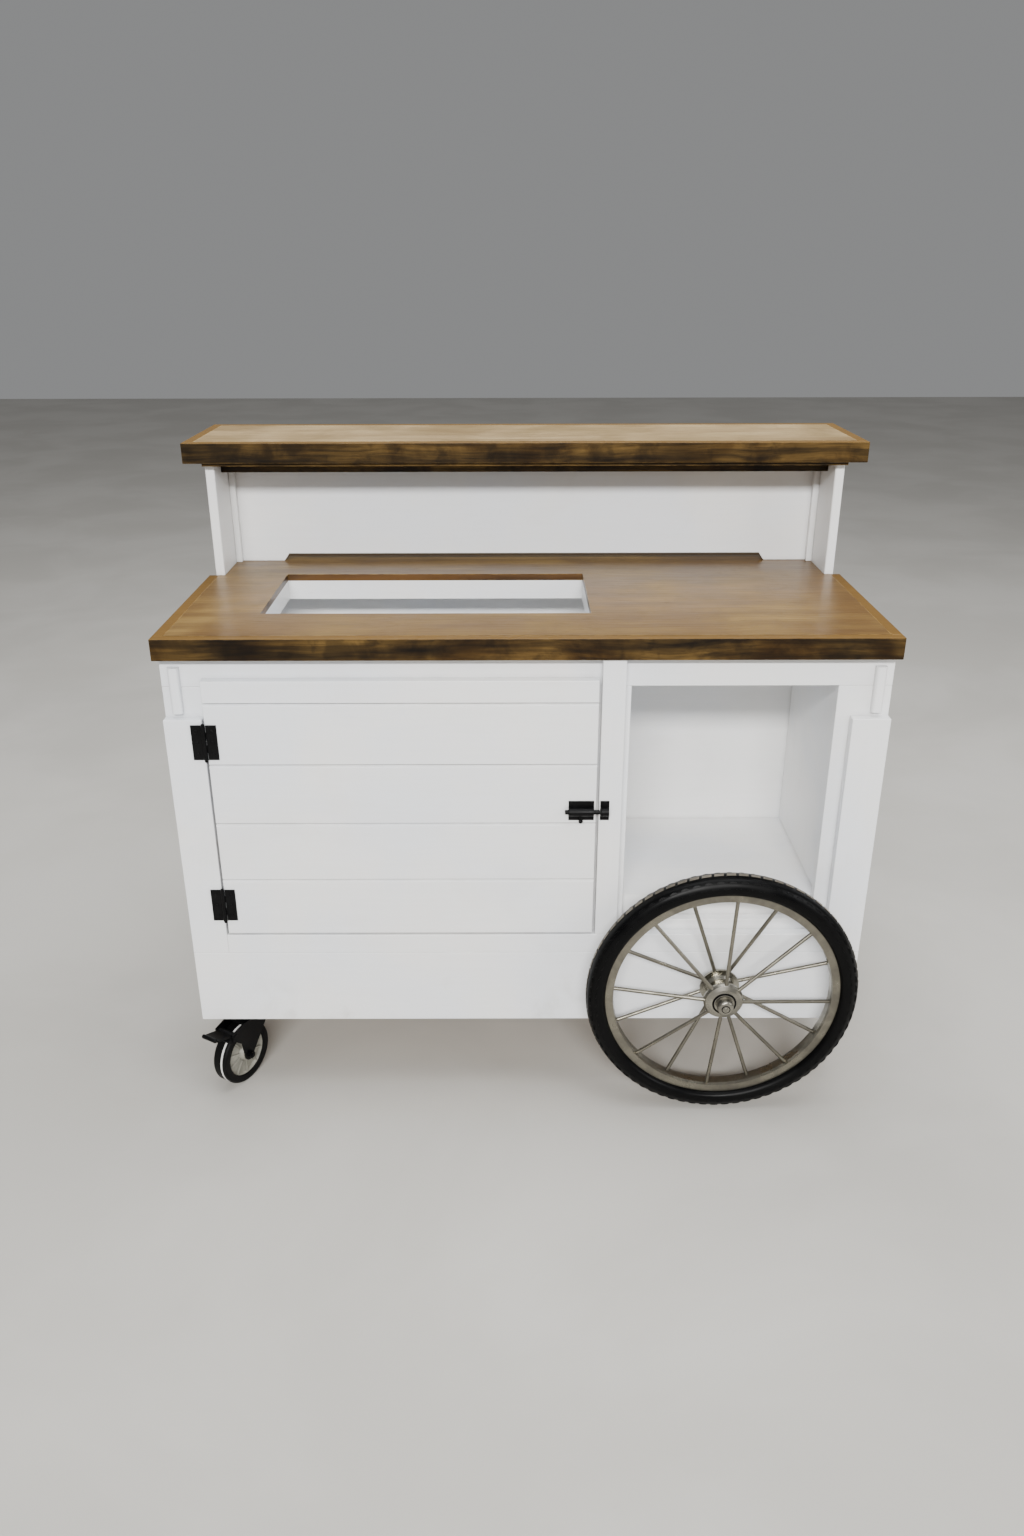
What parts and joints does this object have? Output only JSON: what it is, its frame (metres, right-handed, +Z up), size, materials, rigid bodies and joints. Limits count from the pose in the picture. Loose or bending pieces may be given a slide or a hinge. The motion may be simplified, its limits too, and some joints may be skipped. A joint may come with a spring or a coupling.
{
  "type": "push vending cart",
  "caption": "White timber push cart with a stained counter and raised shelf, a counter cut-out, a hinged door, an open bay, spoked wheels and braked swivel casters",
  "frame": {"origin": "on the floor, at the centre of the base of the bounding box", "axes": "+X along the counter towards the spoked wheels, -Y the vendor's side with the door and the open bay, +Z up"},
  "size_m": [1.293, 0.7718, 1.172],
  "materials": {
    "painted_timber": "satin white paint",
    "stained_timber": "walnut stain, satin",
    "stained_nosing": "dark walnut stain, satin",
    "bare_timber": "bare, sanded",
    "black_steel": "black powder coat",
    "zinc_steel": "zinc plated",
    "bearing_steel": "ground",
    "rim_metal": "satin warm grey",
    "tyre_rubber": "matt black",
    "caster_rubber": "matt black",
    "caster_plastic": "matt"
  },
  "bodies": {
    "cabinet": {"left_side_panel": "painted_timber", "right_side_panel": "painted_timber", "back_panel": "painted_timber", "bottom_deck": "bare_timber", "cabinet_floor": "painted_timber", "divider_panel": "painted_timber", "corner_posts": "painted_timber", "face_frame": "painted_timber", "corner_boards": "painted_timber", "centre_stile_trim": "painted_timber", "base_boards": "painted_timber", "lower_rail_trim": "painted_timber", "corner_blocks": "painted_timber", "bay_floor": "painted_timber", "bay_back_wall": "painted_timber", "bay_side_wall": "painted_timber", "sub_top": "bare_timber", "counter_underlay": "painted_timber", "countertop": "stained_timber", "counter_nosings": "stained_nosing", "back_cladding": "painted_timber", "riser_side_panels": "painted_timber", "riser_back_panel": "painted_timber", "riser_corner_cleats": "painted_timber", "shelf_cleat": "stained_nosing", "shelf_subboard": "stained_nosing", "shelf_board": "stained_timber", "shelf_nosings": "stained_nosing", "axle": "zinc_steel", "axle_fittings": "zinc_steel", "axle_blocks": "bare_timber", "hinge_frame_halves": "black_steel", "bolt_keeper": "black_steel", "frame_screws": "black_steel", "caster_plates": "black_steel", "caster_screws": "zinc_steel"},
    "door": {"door_boards": "painted_timber", "door_battens": "painted_timber", "hinge_door_halves": "black_steel", "bolt_housing": "black_steel", "door_screws": "black_steel"},
    "bolt": {"bolt_rod": "black_steel"},
    "front_wheel": {"front_wheel_tyre": "tyre_rubber", "front_wheel_rim": "rim_metal", "front_wheel_spokes": "rim_metal", "front_wheel_hub": "zinc_steel", "front_wheel_bearings": "bearing_steel"},
    "front_caster_swivel": {"front_caster_fork": "black_steel"},
    "front_caster_wheel": {"front_caster_wheel_core": "caster_plastic", "front_caster_wheel_tyre": "caster_rubber"},
    "front_caster_brake": {"front_caster_brake_pedal": "black_steel"},
    "back_wheel": {"back_wheel_tyre": "tyre_rubber", "back_wheel_rim": "rim_metal", "back_wheel_spokes": "rim_metal", "back_wheel_hub": "zinc_steel", "back_wheel_bearings": "bearing_steel"},
    "back_caster_swivel": {"back_caster_fork": "black_steel"},
    "back_caster_wheel": {"back_caster_wheel_core": "caster_plastic", "back_caster_wheel_tyre": "caster_rubber"},
    "back_caster_brake": {"back_caster_brake_pedal": "black_steel"}
  },
  "joints": [
    {"name": "door_hinge", "type": "hinge", "parent": "cabinet", "child": "door", "pos_m": [-0.553, -0.2807, 0.6], "axis": [0, 0, -1], "range_deg": [0, 170]},
    {"name": "bolt_slide", "type": "slide", "parent": "door", "child": "bolt", "axis": [1, 0, 0], "range_m": [0, 0.017]},
    {"name": "front_wheel_spin", "type": "hinge", "parent": "cabinet", "child": "front_wheel", "pos_m": [0.3585, -0.334, 0.25], "axis": [0, 1, 0], "continuous": true},
    {"name": "front_caster_swivel", "type": "hinge", "parent": "cabinet", "child": "front_caster_swivel", "pos_m": [-0.541, -0.222, 0.14], "axis": [0, 0, 1], "continuous": true},
    {"name": "front_caster_spin", "type": "hinge", "parent": "front_caster_swivel", "child": "front_caster_wheel", "pos_m": [-0.56, -0.25491, 0.0625], "axis": [0.866, -0.5, 0], "continuous": true},
    {"name": "front_caster_brake", "type": "hinge", "parent": "front_caster_swivel", "child": "front_caster_brake", "pos_m": [-0.576, -0.28262, 0.1245], "axis": [0.866, -0.5, 0], "range_deg": [0, 14]},
    {"name": "back_wheel_spin", "type": "hinge", "parent": "cabinet", "child": "back_wheel", "pos_m": [0.3585, 0.334, 0.25], "axis": [0, 1, 0], "continuous": true},
    {"name": "back_caster_swivel", "type": "hinge", "parent": "cabinet", "child": "back_caster_swivel", "pos_m": [-0.541, 0.222, 0.14], "axis": [0, 0, 1], "continuous": true},
    {"name": "back_caster_spin", "type": "hinge", "parent": "back_caster_swivel", "child": "back_caster_wheel", "pos_m": [-0.56, 0.25491, 0.0625], "axis": [-0.866, -0.5, 0], "continuous": true},
    {"name": "back_caster_brake", "type": "hinge", "parent": "back_caster_swivel", "child": "back_caster_brake", "pos_m": [-0.576, 0.28262, 0.1245], "axis": [-0.866, -0.5, 0], "range_deg": [0, 14]}
  ]
}
